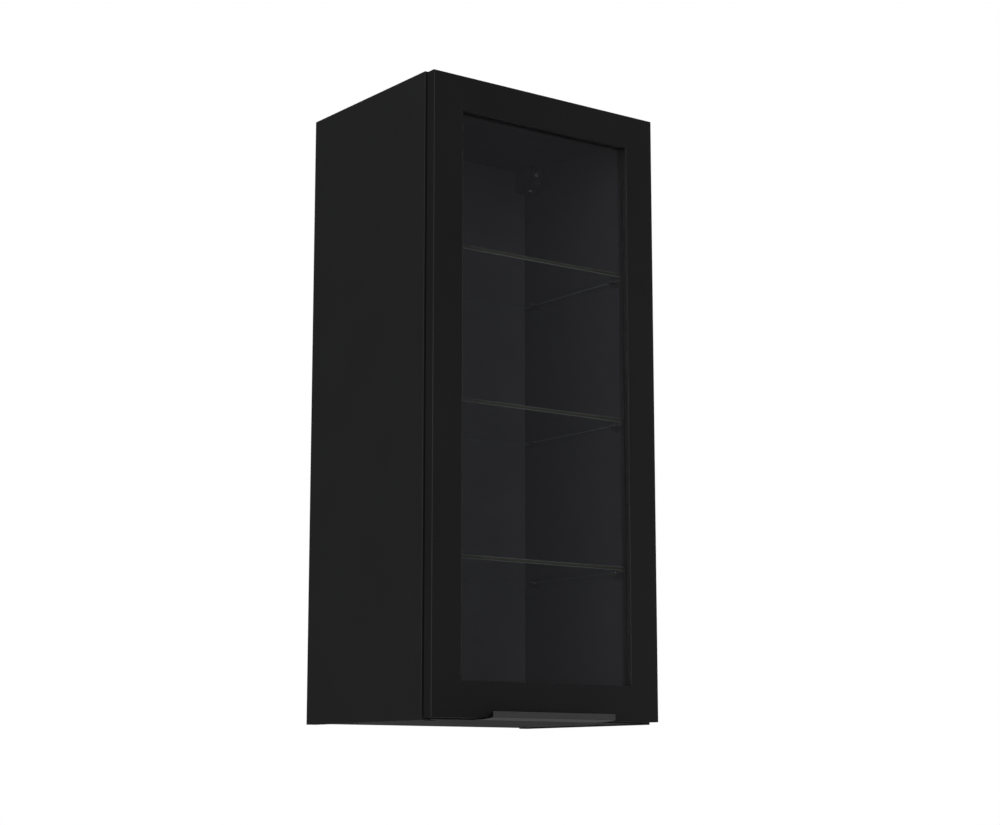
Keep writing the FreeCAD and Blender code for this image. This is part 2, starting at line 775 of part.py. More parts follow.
def hinge_link(label):
    """A cranked link with an eye at the arm's pivot and another at the cup's pivot."""
    pivot = ("Dims.pivot_x", "Dims.pivot_y")
    crank = ("Dims.crank_x", "Dims.crank_y")
    knee = ("Dims.knee_x", "Dims.knee_y")
    solid = doc.addObject("Part::MultiFuse", f"{label}_blank")
    solid.Shapes = [
        strap(*crank, *knee), strap(*knee, *pivot),
        barrel(*crank, "Dims.eye_radius"), barrel(*pivot, "Dims.eye_radius"),
        barrel(*knee, "Dims.link_thick / 2")]
    bores = doc.addObject("Part::MultiFuse", f"{label}_bores")
    bores.Shapes = [barrel(*spot, "Dims.hinge_pin + Dims.pin_play") for spot in (crank, pivot)]
    link = doc.addObject("Part::Cut", label)
    link.Label = label
    link.Base = solid
    link.Tool = bores
    doc.recompute()
    return link


def hinge_arm(label):
    """A pressed steel channel, open towards the side board, that carries the link's pin."""
    body = new_body(label)
    nose = "(Dims.pivot_y - Dims.arm_nose)"
    profile = sketch_on(body, "XY_Plane", "-Dims.arm_half")
    outline(profile, [
        ("Dims.pivot_x - 4", nose), ("Dims.arm_top", nose), ("Dims.arm_top", "Dims.arm_rear"),
        ("Dims.arm_low", "Dims.arm_rear"), ("Dims.arm_low", "Dims.pivot_y + 10")])
    pad(body, profile, "2 * Dims.arm_half")
    nose_y = size_of(nose)
    rear_y = size_of("Dims.arm_rear")
    dress(body, "Fillet", lambda edge: runs_along(edge, "z") and at(edge, "y", nose_y),
          "Dims.arm_round")
    dress(body, "Fillet", lambda edge: runs_along(edge, "z") and at(edge, "y", rear_y),
          "Dims.arm_round")

    channel = sketch_on(body, "XY_Plane", "Dims.arm_skin - Dims.arm_half")
    rectangle(channel, "Dims.arm_low - 1", "Dims.arm_top - Dims.arm_skin",
              f"{nose} - 1", "Dims.arm_rear + 1")
    pocket(body, channel, "2 * (Dims.arm_half - Dims.arm_skin)", backwards=True)
    pin = sketch_on(body, "XY_Plane", "Dims.arm_half")
    circle(pin, "Dims.pivot_x", "Dims.pivot_y", "Dims.hinge_pin + Dims.pin_play")
    pocket(body, pin, "2 * Dims.arm_half")
    screw = sketch_on(body, "YZ_Plane", "Dims.arm_top")
    circle(screw, "Dims.arm_screw_y", "0", "Dims.wood_screw_radius + 1")
    pocket(body, screw, "Dims.arm_skin")
    return body


def hinge_plate(label):
    """The mounting plate: two wings screwed to the side and a rib that the arm sits over."""
    body = new_body(label)
    rib_half = "(Dims.arm_half - Dims.arm_skin - Dims.rib_play)"
    wings = sketch_on(body, "YZ_Plane", "Dims.board")
    rectangle(wings, "Dims.wing_y - Dims.wing_reach", "Dims.wing_y + Dims.wing_reach",
              "-Dims.wing_half", "Dims.wing_half")
    pad(body, wings, "Dims.plate_base")
    dress(body, "Fillet", lambda edge: runs_along(edge, "x"), "Dims.wing_round")
    rib = sketch_on(body, "YZ_Plane", "Dims.board")
    rectangle(rib, "Dims.plate_front", "Dims.plate_rear", f"-{rib_half}", rib_half)
    pad(body, rib, "Dims.arm_top - Dims.arm_skin - Dims.board")
    holes = sketch_on(body, "YZ_Plane", "Dims.board + Dims.plate_base")
    for sign in ("-", ""):
        circle(holes, "Dims.wing_y", f"{sign}Dims.plate_screw_half",
               "Dims.plate_screw_radius + 2 * Dims.bore_play")
    pocket(body, holes, "Dims.plate_base")
    screw = sketch_on(body, "YZ_Plane", "Dims.arm_top - Dims.arm_skin")
    circle(screw, "Dims.arm_screw_y", "0", "Dims.wood_screw_radius + 0.8")
    pocket(body, screw, "Dims.arm_screw_depth")
    return body


def hinge_cup(label):
    """The pressed cup and its flange, drawn with Z out of the mouth and Z = 0 on the door."""
    body = new_body(label)
    wings = sketch_on(body, "XY_Plane")
    reach = "(Dims.cup_screw_half + Dims.cup_wing_half)"
    rectangle(wings, "Dims.cup_screw_offset - Dims.cup_wing_half",
              "Dims.cup_screw_offset + Dims.cup_wing_half", f"-{reach}", reach)
    pad(body, wings, "Dims.flange_thick")
    dress(body, "Fillet", lambda edge: runs_along(edge, "z"), "Dims.cup_wing_round")
    section = sketch_on(body, "XZ_Plane")
    outline(section, [
        ("0", "-Dims.cup_depth"), ("Dims.cup_radius - 1", "-Dims.cup_depth"),
        ("Dims.cup_radius", "1 - Dims.cup_depth"), ("Dims.cup_radius", "0"),
        ("Dims.flange_radius", "0"), ("Dims.flange_radius", "Dims.flange_thick"),
        ("0", "Dims.flange_thick")])
    spin(body, section)
    mouth = sketch_on(body, "XY_Plane", "Dims.flange_thick")
    circle(mouth, "0", "0", "Dims.cup_radius - Dims.cup_wall")
    pocket(body, mouth, "Dims.cup_depth + Dims.flange_thick - Dims.cup_wall")
    pin = sketch_on(body, "XZ_Plane", "Dims.cup_radius")
    circle(pin, f"Dims.crank_x - {CUP_X}", "Dims.crank_y + Dims.door_gap",
           "Dims.hinge_pin + Dims.pin_play")
    pocket(body, pin, "2 * Dims.cup_radius")
    holes = sketch_on(body, "XY_Plane", "Dims.flange_thick")
    for sign in ("-", ""):
        circle(holes, "Dims.cup_screw_offset", f"{sign}Dims.cup_screw_half",
               "Dims.wood_screw_radius + Dims.bore_play")
    pocket(body, holes, "Dims.flange_thick")
    return body


def hinge_pins(label, x, y, half_length):
    """One steel pin in each hinge, along Z."""
    master = turned_piece(f"{label}_master", [
        ("0", f"-{half_length}"), ("Dims.hinge_pin", f"-{half_length}"),
        ("Dims.hinge_pin", half_length), ("0", half_length)])
    return group(label, master, [(x, y, level) for level in HINGES.values()])


def plate_screws():
    """Two screws through each mounting plate into the side."""
    length = "(Dims.plate_screw_length + Dims.plate_base)"
    master = turned_piece("plate_screw_master", [
        ("0", "0"), ("1.5", "0"), ("Dims.plate_screw_radius", "2"),
        ("Dims.plate_screw_radius", length), ("Dims.plate_screw_radius + 1.6", length),
        ("Dims.plate_screw_radius + 1.2", f"{length} + Dims.plate_screw_head"),
        ("0", f"{length} + Dims.plate_screw_head")])
    cross_recess(master, f"{length} + Dims.plate_screw_head", "Dims.machine_screw_recess",
                 "Dims.recess_depth")
    spots = [("Dims.board - Dims.plate_screw_length", "Dims.wing_y",
              f"{level} {sign} Dims.plate_screw_half")
             for level in HINGES.values() for sign in ("-", "+")]
    return group("plate_screws", master, spots, (ALONG_X,))


def arm_screws():
    """One screw holds each arm down on its plate's rib."""
    head_top = "(Dims.arm_skin + Dims.arm_screw_head)"
    master = turned_piece("arm_screw_master", [
        ("0", "-Dims.arm_screw_depth"), ("Dims.wood_screw_radius + 0.7", "-Dims.arm_screw_depth"),
        ("Dims.wood_screw_radius + 0.7", "Dims.arm_skin"), ("4", "Dims.arm_skin"),
        ("3.6", head_top), ("0", head_top)])
    cross_recess(master, head_top, "Dims.machine_screw_recess", "Dims.recess_depth")
    spots = [("Dims.arm_top - Dims.arm_skin", "Dims.arm_screw_y", level)
             for level in HINGES.values()]
    return group("arm_screws", master, spots, (ALONG_X,))


# ---------------------------------------------------------------- door

HANDLE_SCREW_COLUMNS = (
    "(Dims.handle_left + Dims.handle_screw_inset)",
    "(Dims.handle_left + Dims.handle_length / 2)",
    "(Dims.handle_left + Dims.handle_length - Dims.handle_screw_inset)",
)


def door_frame():
    """The door board with its glazed opening, the glass's rebate and the hinge cup bores."""
    body = new_body("door_frame")
    blank = sketch_on(body, "XZ_Plane", "Dims.door_gap")
    rectangle(blank, DOOR_LEFT, DOOR_RIGHT, DOOR_LOW, DOOR_HIGH)
    pad(body, blank, "Dims.door_thick")
    opening = sketch_on(body, "XZ_Plane", "Dims.door_gap + Dims.door_thick")
    rectangle(opening, f"{DOOR_LEFT} + Dims.member", f"{DOOR_RIGHT} - Dims.member",
              f"{DOOR_LOW} + Dims.member", f"{DOOR_HIGH} - Dims.member")
    pocket(body, opening, "Dims.door_thick")
    front, back = size_of(DOOR_FRONT), size_of(DOOR_BACK)
    inside = size_of(f"{DOOR_LEFT} + Dims.member / 2")

    def on_outline(edge):
        """The front's outer and inner edges and the back's outer edges."""
        box = edge.BoundBox
        outer = box.XMin < inside or box.XMax > size_of("Dims.width") - inside
        return at(edge, "y", front) or (at(edge, "y", back) and outer)

    dress(body, "Fillet", on_outline, "Dims.door_round")

    rebate = sketch_on(body, "XZ_Plane", "Dims.door_gap")
    lip = "(Dims.member - Dims.rebate)"
    rectangle(rebate, f"{DOOR_LEFT} + {lip}", f"{DOOR_RIGHT} - {lip}",
              f"{DOOR_LOW} + {lip}", f"{DOOR_HIGH} - {lip}")
    pocket(body, rebate, "Dims.door_thick - Dims.glass_setback", backwards=True)

    cups = sketch_on(body, "XZ_Plane", "Dims.door_gap")
    screws = sketch_on(body, "XZ_Plane", "Dims.door_gap")
    bore = "Dims.wood_screw_radius + Dims.bore_play"
    for level in HINGES.values():
        circle(cups, CUP_X, level, "Dims.cup_radius + Dims.cup_play")
        for sign in ("-", "+"):
            circle(screws, f"{CUP_X} + Dims.cup_screw_offset",
                   f"{level} {sign} Dims.cup_screw_half", bore)
    for column in HANDLE_SCREW_COLUMNS:
        circle(screws, column, "Dims.handle_screw_level", bore)
    pocket(body, cups, "Dims.cup_depth + Dims.cup_play", backwards=True)
    pocket(body, screws, "Dims.wood_screw_length + Dims.bore_end_play", backwards=True)
    return body


def door_glass():
    body = new_body("door_glass")
    lip = "(Dims.member - Dims.rebate + Dims.pane_play)"
    blank = sketch_on(body, "XZ_Plane",
                      "Dims.door_gap + Dims.door_thick - Dims.glass_setback - Dims.pane_thick")
    rectangle(blank, f"{DOOR_LEFT} + {lip}", f"{DOOR_RIGHT} - {lip}",
              f"{DOOR_LOW} + {lip}", f"{DOOR_HIGH} - {lip}")
    pad(body, blank, "Dims.pane_thick")
    return body


def glazing_bead(side):
    """One mitred bead that holds the glass in its rebate from behind."""
    body = new_body(f"glazing_bead_{side}")
    lip = "(Dims.member - Dims.rebate + Dims.bead_play)"
    left, right = f"({DOOR_LEFT} + {lip})", f"({DOOR_RIGHT} - {lip})"
    low, high = f"({DOOR_LOW} + {lip})", f"({DOOR_HIGH} - {lip})"
    wide, play = "Dims.bead_width", "Dims.mitre_play"
    corners = {
        "left": [(left, f"{low} + {play}"), (left, f"{high} - {play}"),
                 (f"{left} + {wide}", f"{high} - {wide} - {play}"),
                 (f"{left} + {wide}", f"{low} + {wide} + {play}")],
        "right": [(right, f"{low} + {play}"), (right, f"{high} - {play}"),
                  (f"{right} - {wide}", f"{high} - {wide} - {play}"),
                  (f"{right} - {wide}", f"{low} + {wide} + {play}")],
        "bottom": [(f"{left} + {play}", low), (f"{right} - {play}", low),
                   (f"{right} - {wide} - {play}", f"{low} + {wide}"),
                   (f"{left} + {wide} + {play}", f"{low} + {wide}")],
        "top": [(f"{left} + {play}", high), (f"{right} - {play}", high),
                (f"{right} - {wide} - {play}", f"{high} - {wide}"),
                (f"{left} + {wide} + {play}", f"{high} - {wide}")],
    }
    seat_level = "Dims.door_gap + Dims.door_thick - Dims.glass_setback - Dims.pane_thick"
    blank = sketch_on(body, "XZ_Plane", f"{seat_level} - Dims.bead_thick")
    outline(blank, corners[side])
    pad(body, blank, "Dims.bead_thick")
    rear = -size_of(f"{seat_level} - Dims.bead_thick")
    u, v = corners[side][2]
    inner = {"left": ("x", u), "right": ("x", u), "bottom": ("z", v), "top": ("z", v)}[side]
    place = size_of(inner[1])
    dress(body, "Chamfer", lambda edge: at(edge, "y", rear) and at(edge, inner[0], place),
          "Dims.bead_bevel")
    return body


def handle_profile():
    """An extruded edge pull: a leg behind the door, a web under it and a lip in front of it."""
    body = new_body("handle_profile")
    web_top = "(Dims.handle_low + Dims.handle_skin)"
    leg_rear = "(Dims.handle_leg - Dims.door_gap)"
    section = sketch_on(body, "YZ_Plane", "Dims.handle_left")
    outline(section, [
        (DOOR_BACK, "Dims.handle_leg_top"), (leg_rear, "Dims.handle_leg_top"),
        (leg_rear, "Dims.handle_low"), ("Dims.handle_kink", "Dims.handle_low"),
        ("Dims.handle_nose", "Dims.handle_nose_low"),
        ("Dims.handle_nose", "Dims.handle_nose_high"),
        ("Dims.handle_nose + 1.4", "Dims.handle_nose_high"),
        ("Dims.handle_ramp", web_top), (DOOR_BACK, web_top)])
    pad(body, section, "Dims.handle_length")
    nose = size_of("Dims.handle_nose")
    left = size_of("Dims.handle_left")
    right = size_of("Dims.handle_left + Dims.handle_length")
    lip = size_of("Dims.handle_ramp")

    def on_lip(edge):
        """The lip's long front edges and its outline at both ends."""
        if edge.BoundBox.YMax > lip + 0.1:
            return False
        return at(edge, "y", nose) or at(edge, "x", left) or at(edge, "x", right)

    dress(body, "Chamfer", on_lip, "Dims.handle_bevel")
    screws = sketch_on(body, "XZ_Plane", f"-{leg_rear}")
    for column in HANDLE_SCREW_COLUMNS:
        circle(screws, column, "Dims.handle_screw_level",
               "Dims.wood_screw_radius + Dims.bore_play")
    pocket(body, screws, "Dims.handle_leg", backwards=True)
    return body


def door_screws(label, under_head, head, spots):
    """Wood screws into the door's back, with low round heads."""
    master = turned_piece(f"{label}_master", [
        ("0", "-Dims.wood_screw_length"), ("0.6", "-Dims.wood_screw_length"),
        ("Dims.wood_screw_radius", "2 - Dims.wood_screw_length"),
        ("Dims.wood_screw_radius", under_head), ("Dims.wood_screw_head", under_head),
        ("Dims.wood_screw_head - 0.5", f"{under_head} + {head}"),
        ("0", f"{under_head} + {head}")])
    cross_recess(master, f"{under_head} + {head}", "Dims.wood_screw_recess",
                 "Dims.wood_screw_recess_depth")
    return group(label, master, [(x, DOOR_BACK, z) for x, z in spots], (INTO_BACK,))


def door_bumpers():
    """Soft buffers behind the door's free corners, against the right side's front edge."""
    master = turned_piece("bumper_master", [
        ("0", "0"), ("Dims.bumper_radius", "0"), ("Dims.bumper_radius", "1.2"),
        ("Dims.bumper_radius - 0.8", "Dims.bumper_thick - 0.5"),
        ("Dims.bumper_radius - 1.8", "Dims.bumper_thick"), ("0", "Dims.bumper_thick")])
    x = f"{DOOR_RIGHT} - Dims.bumper_inset"
    spots = [(x, DOOR_BACK, f"{DOOR_LOW} + Dims.bumper_drop"),
             (x, DOOR_BACK, f"{DOOR_HIGH} - Dims.bumper_drop")]
    return group("door_bumpers", master, spots, (INTO_BACK,))


# ---------------------------------------------------------------- assembly

seat(side_panel("left_side_panel", hinged=True))
seat(mirrored("right_side_panel", side_panel("right_side_blank", hinged=False)))
seat(cross_board("top_panel", TOP_BOARD, cams_up=True))
seat(cross_board("bottom_panel", BOTTOM_BOARD, cams_up=False))
seat(back_panel())
seat(wood_dowels())
seat(cam_bolts())
seat(cam_locks())
seat(cam_covers())
for name, level in SHELVES.items():
    seat(glass_shelf(f"shelf_{name}", level))
seat(shelf_supports())
seat(shelf_pads())
seat(hanger_housing("hanger_left_housing"))
seat(hanger_hook("hanger_left_hook"))
seat(mirrored("hanger_right_housing", hanger_housing("hanger_blank")))
seat(mirrored("hanger_right_hook", hanger_hook("hook_blank")))
seat(hanger_screws())

for name, level in HINGES.items():
    seat(hinge_plate(f"hinge_plate_{name}"), up=level)
    seat(hinge_arm(f"hinge_arm_{name}"), up=level)
    seat(hinge_link(f"hinge_link_{name}"), up=level)
    cup = seat(hinge_cup(f"hinge_cup_{name}"), across=CUP_X, back=DOOR_BACK, up=level)
    cup.Placement.Rotation = INTO_BACK
seat(plate_screws())
seat(arm_screws())
seat(hinge_pins("arm_pins", "Dims.pivot_x", "Dims.pivot_y", "Dims.arm_pin_half"))
seat(hinge_pins("cup_pins", "Dims.crank_x", "Dims.crank_y", "Dims.cup_pin_half"))

seat(door_frame())
seat(door_glass())
for name in ("left", "right", "bottom", "top"):
    seat(glazing_bead(name))
seat(handle_profile())
seat(door_screws("handle_screws", "Dims.handle_leg", "Dims.handle_screw_head",
                 [(x, "Dims.handle_screw_level") for x in HANDLE_SCREW_COLUMNS]))
seat(door_screws("cup_screws", "Dims.flange_thick", "Dims.cup_screw_head",
                 [(f"{CUP_X} + Dims.cup_screw_offset", f"{level} {sign} Dims.cup_screw_half")
                  for level in HINGES.values() for sign in ("-", "+")]))
seat(door_bumpers())
doc.recompute()

# ---------------------------------------------------------------- checks and export

for thing in doc.Objects:
    if {"Invalid", "Error"} & set(thing.State):
        raise RuntimeError(f"{thing.Label} failed: {thing.State}")
for node in NODES:
    if node.Shape.isNull() or not node.Shape.isValid() or not node.Shape.Solids:
        raise RuntimeError(f"{node.Label} has no sound shape")

os.makedirs("parts", exist_ok=True)
for node in NODES:
    node.Shape.exportStep(f"parts/{node.Label}.step")
print(f"{len(NODES)} sub-parts written")
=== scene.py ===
import json
import math

import bpy
from mathutils import Euler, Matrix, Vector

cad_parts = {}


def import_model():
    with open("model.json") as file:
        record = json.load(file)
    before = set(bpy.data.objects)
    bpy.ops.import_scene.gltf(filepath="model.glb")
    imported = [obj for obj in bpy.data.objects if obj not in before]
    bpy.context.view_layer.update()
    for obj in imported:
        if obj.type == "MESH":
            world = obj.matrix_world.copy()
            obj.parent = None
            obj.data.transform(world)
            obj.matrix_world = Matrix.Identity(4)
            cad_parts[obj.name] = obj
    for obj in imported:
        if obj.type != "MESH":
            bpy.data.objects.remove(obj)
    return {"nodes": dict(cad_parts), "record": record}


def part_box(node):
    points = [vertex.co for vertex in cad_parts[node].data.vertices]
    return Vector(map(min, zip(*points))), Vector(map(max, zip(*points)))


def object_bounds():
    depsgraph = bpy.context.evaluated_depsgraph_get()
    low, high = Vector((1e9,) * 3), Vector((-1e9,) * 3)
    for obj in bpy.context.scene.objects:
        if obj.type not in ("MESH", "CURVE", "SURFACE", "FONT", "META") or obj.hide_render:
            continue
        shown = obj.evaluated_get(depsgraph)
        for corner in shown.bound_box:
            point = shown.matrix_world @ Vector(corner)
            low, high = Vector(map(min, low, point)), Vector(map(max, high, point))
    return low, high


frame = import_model()
cad_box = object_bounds()
NODES = frame["nodes"]
MM = 0.001


# ---------------------------------------------------------------- node graph helpers

def math_node(tree, operation, first, second=0.0):
    """A Math node's output, from outputs or plain numbers."""
    made = tree.nodes.new("ShaderNodeMath")
    made.operation = operation
    for socket, value in zip(made.inputs, (first, second)):
        connect(tree, socket, value)
    return made.outputs["Value"]


def connect(tree, socket, value):
    """Link an output to a socket, or set the socket to a constant."""
    if isinstance(value, bpy.types.NodeSocket):
        tree.links.new(value, socket)
    else:
        socket.default_value = value


def rgba(colour):
    """A colour constant with its alpha, or an output left as it is."""
    return colour if isinstance(colour, bpy.types.NodeSocket) else (*colour, 1.0)


def grey(level, warmth=0.0):
    """A dark or light neutral, pushed a little towards warm or cool."""
    return (level * (1 + warmth), level, level * (1 - warmth))


def scaled(colour, factor, most=1.0):
    """A colour made darker or brighter, up to a highest value."""
    return tuple(min(channel * factor, most) for channel in colour)


class Graph:
    """A material's node tree, with short names for the nodes that the surfaces share."""

    def __init__(self, name):
        self.material = bpy.data.materials.new(name)
        self.material.use_nodes = True
        self.tree = self.material.node_tree
        self.surface = self.tree.nodes["Principled BSDF"]
        self.output = self.tree.nodes["Material Output"]
        self.place = self.node("ShaderNodeTexCoord").outputs["Object"]

    def node(self, kind, **settings):
        made = self.tree.nodes.new(kind)
        for key, value in settings.items():
            setattr(made, key, value)
        return made

    def feed(self, socket, value):
        connect(self.tree, socket, value)

    def set(self, **inputs):
        """Set the surface's sockets by name, with _ for a space."""
        for key, value in inputs.items():
            self.feed(self.surface.inputs[key.replace("_", " ")], value)

    def stretched(self, x=1.0, y=1.0, z=1.0):
        """Object coordinates, in metres, scaled along each axis."""
        mapping = self.node("ShaderNodeMapping")
        mapping.inputs["Scale"].default_value = (x, y, z)
        self.feed(mapping.inputs["Vector"], self.place)
        return mapping.outputs["Vector"]

    def noise(self, size_mm, detail=3.0, roughness=0.55, where=None):
        """Cloudy noise from 0 to 1, with features of about size_mm."""
        made = self.node("ShaderNodeTexNoise")
        made.inputs["Scale"].default_value = 1 / MM / size_mm
        made.inputs["Detail"].default_value = detail
        made.inputs["Roughness"].default_value = roughness
        self.feed(made.inputs["Vector"], where or self.place)
        return made.outputs["Fac"]

    def cells(self, size_mm, output="Distance", where=None):
        """Voronoi cells of about size_mm."""
        made = self.node("ShaderNodeTexVoronoi")
        made.inputs["Scale"].default_value = 1 / MM / size_mm
        self.feed(made.inputs["Vector"], where or self.place)
        return made.outputs[output]

    def remap(self, value, start, end, to_start=0.0, to_end=1.0):
        """A value that runs from start to end, stretched and clamped to another range."""
        made = self.node("ShaderNodeMapRange")
        self.feed(made.inputs["Value"], value)
        made.inputs["From Min"].default_value = start
        made.inputs["From Max"].default_value = end
        made.inputs["To Min"].default_value = to_start
        made.inputs["To Max"].default_value = to_end
        return made.outputs["Result"]

    def math(self, operation, first, second=0.0):
        return math_node(self.tree, operation, first, second)

    def times(self, first, second):
        return self.math("MULTIPLY", first, second)

    def plus(self, first, second):
        return self.math("ADD", first, second)

    def blend(self, share, first, second):
        """Mix two colours."""
        made = self.node("ShaderNodeMix", data_type="RGBA")
        self.feed(made.inputs["Factor"], share)
        self.feed(made.inputs["A"], rgba(first))
        self.feed(made.inputs["B"], rgba(second))
        return made.outputs["Result"]

    def mottle(self, value, first, second, start=0.3, end=0.7):
        """Two colours mixed by a texture's value, from start to end."""
        return self.blend(self.remap(value, start, end), first, second)

    def darkened(self, share, colour):
        """A colour times a number from 0 to 1."""
        made = self.node("ShaderNodeMix", data_type="RGBA", blend_type="MULTIPLY")
        made.inputs["Factor"].default_value = 1.0
        self.feed(made.inputs["A"], rgba(colour))
        self.feed(made.inputs["B"], share)
        return made.outputs["Result"]

    def bump(self, height, depth_mm, strength=1.0, under=None):
        """A normal from a height that runs from 0 to 1 over depth_mm."""
        made = self.node("ShaderNodeBump")
        made.inputs["Distance"].default_value = depth_mm * MM
        made.inputs["Strength"].default_value = strength
        self.feed(made.inputs["Height"], height)
        if under is not None:
            self.feed(made.inputs["Normal"], under)
        return made.outputs["Normal"]

    def facing(self, axis):
        """How far a face's own normal points along an axis of the frame, from -1 to 1."""
        parts = self.node("ShaderNodeSeparateXYZ")
        self.feed(parts.inputs["Vector"], self.node("ShaderNodeTexCoord").outputs["Normal"])
        return parts.outputs[axis]

    def within(self, least, most):
        """1 for points of a surface inside a box given in metres, and 0 outside it."""
        parts = self.node("ShaderNodeSeparateXYZ")
        self.feed(parts.inputs["Vector"], self.place)
        result = 1.0
        for axis, bottom, top in zip("XYZ", least, most):
            above = self.math("GREATER_THAN", parts.outputs[axis], bottom)
            below = self.math("LESS_THAN", parts.outputs[axis], top)
            result = self.times(result, self.times(above, below))
        return result

    def shade(self, reach_mm, deepest):
        """1 in the open, falling to deepest where nearby parts close a surface in. Multiplied
        into a colour, it gives painted shade.
        """
        made = self.node("ShaderNodeAmbientOcclusion", samples=8)
        made.inputs["Distance"].default_value = reach_mm * MM
        return self.remap(made.outputs["AO"], 0.25, 0.9, deepest, 1.0)

    def edges(self, radius_mm):
        """1 along sharp outer edges, falling to 0 about radius_mm away."""
        rounded = self.node("ShaderNodeBevel", samples=6)
        rounded.inputs["Radius"].default_value = radius_mm * MM
        true = self.node("ShaderNodeNewGeometry").outputs["Normal"]
        dot = self.node("ShaderNodeVectorMath", operation="DOT_PRODUCT")
        self.feed(dot.inputs[0], rounded.outputs["Normal"])
        self.feed(dot.inputs[1], true)
        return self.remap(dot.outputs["Value"], 0.99, 0.80)

    def worn_edges(self, radius_mm, patch_mm, start, end, least, most):
        """Rubbed edges in patches: how much they show runs from least to most."""
        patches = self.noise(patch_mm, detail=4)
        return self.times(self.edges(radius_mm), self.remap(patches, start, end, least, most))

    def pass_light(self, tint):
        """Let lamp light and scattered light straight through the glass, tinted."""
        path = self.node("ShaderNodeLightPath").outputs
        clear = self.node("ShaderNodeBsdfTransparent")
        clear.inputs["Color"].default_value = rgba(tint)
        shader = self.surface.outputs["BSDF"]
        for ray in ("Is Shadow Ray", "Is Diffuse Ray"):
            mix = self.node("ShaderNodeMixShader")
            self.feed(mix.inputs[0], path[ray])
            self.feed(mix.inputs[1], shader)
            self.feed(mix.inputs[2], clear.outputs["BSDF"])
            shader = mix.outputs["Shader"]
        self.feed(self.output.inputs["Surface"], shader)


# ---------------------------------------------------------------- boards, foil and plastics

# the space between the boards from front to back, and the first SKIN of the boards around it
SKIN = 0.8 * MM
COMPARTMENT = (
    (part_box("left_side_panel")[1].x - SKIN, cad_box[0].y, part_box("bottom_panel")[1].z - SKIN),
    (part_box("right_side_panel")[0].x + SKIN, cad_box[1].y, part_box("top_panel")[0].z + SKIN),
)
# everything above the object's middle height
FAR = 1.0
UPPER_HALF = ((-FAR, -FAR, (cad_box[0].z + cad_box[1].z) / 2), (FAR, FAR, FAR))

BOARD_BLACK = 0.0125
BOARD_ROUGHNESS = 0.55
# painted light: a lighter, bluer grey for the faces inside the compartment, standing in for the
# light and glass sheen on them
PAINTED_INNER_LIGHT = (0.0160, 0.0160, 0.0173)
DUST = (0.16, 0.155, 0.15)
LACQUER = (0.0400, 0.0400, 0.0425), (0.0450, 0.0450, 0.0480)


def black_laminate():
    """Melamine-faced board: fine pearl texture, faint cloudiness, rubbed edges and dust."""
    g = Graph("black_laminate")
    tone = g.mottle(g.noise(90, detail=3), grey(BOARD_BLACK * 0.94),
                    grey(BOARD_BLACK * 1.06, -0.01), 0.35, 0.65)
    specks = g.remap(g.noise(1.6, detail=2), 0.62, 0.78, 0, 0.35)
    tone = g.blend(specks, tone, grey(BOARD_BLACK * 1.7))
    # painted light: the faces inside the compartment are painted halfway to the lighter, bluer
    # inner grey
    tone = g.blend(g.times(g.within(*COMPARTMENT), 0.5), tone, PAINTED_INNER_LIGHT)
    rub = g.worn_edges(1.2, 14, 0.42, 0.68, 0.08, 0.8)
    tone = g.blend(rub, tone, grey(BOARD_BLACK * 2, 0.02))
    # painted shade: the board's colour darkens where nearby parts close it in, as in corners and
    # gaps
    tone = g.darkened(g.shade(14, deepest=0.45), tone)

    upward = g.remap(g.facing("Z"), 0.8, 1.0)
    dust = g.times(upward, g.remap(g.noise(40, detail=5), 0.4, 0.75))
    tone = g.blend(g.times(dust, 0.12), tone, DUST)
    rough = g.remap(g.noise(55, detail=5), 0.3, 0.7,
                    BOARD_ROUGHNESS - 0.03, BOARD_ROUGHNESS + 0.03)
    rough = g.plus(rough, g.times(dust, 0.1))

    behind = g.remap(g.facing("Y"), 0.9, 0.98)
    tone = g.blend(behind, tone, chipboard(g))
    rough = g.plus(rough, g.times(behind, 0.3))
    pearl = g.bump(g.noise(0.9, detail=2, roughness=0.5), 0.02, strength=0.3)
    normal = g.bump(g.noise(160, detail=1), 0.12, strength=0.3, under=pearl)
    g.set(Base_Color=tone, Roughness=rough, Normal=normal, Specular_IOR_Level=0.2)
    return g.material


def chipboard(g):
    """The colour of a sawn particleboard edge: pale flakes pressed together."""
    flakes = g.node("ShaderNodeSeparateColor")
    g.feed(flakes.inputs["Color"], g.cells(3.2, "Color", g.stretched(z=0.45)))
    tone = g.blend(flakes.outputs["Red"], (0.36, 0.24, 0.13), (0.56, 0.42, 0.26))
    return g.mottle(g.noise(5, detail=5), tone, (0.20, 0.12, 0.06), 0.5, 0.75)


def fibre_back():
    """Thin fibreboard: dark grey lacquer towards the room, raw brown fibres to the wall."""
    g = Graph("fibre_back")
    lacquer = g.mottle(g.noise(70, detail=3), *LACQUER, 0.35, 0.65)
    fibres = g.noise(2.2, detail=6, roughness=0.7, where=g.stretched(z=0.35))
    raw = g.mottle(fibres, (0.17, 0.095, 0.045), (0.30, 0.185, 0.095))
    stains = g.remap(g.noise(120, detail=4), 0.45, 0.8, 0, 0.5)
    raw = g.blend(stains, raw, (0.20, 0.125, 0.065))
    behind = g.remap(g.facing("Y"), 0.4, 0.6)
    g.set(Base_Color=g.blend(behind, lacquer, raw), Roughness=g.remap(behind, 0, 1, 0.5, 0.85))
    g.set(Normal=g.bump(fibres, 0.06, strength=0.6), Specular_IOR_Level=0.3)
    return g.material


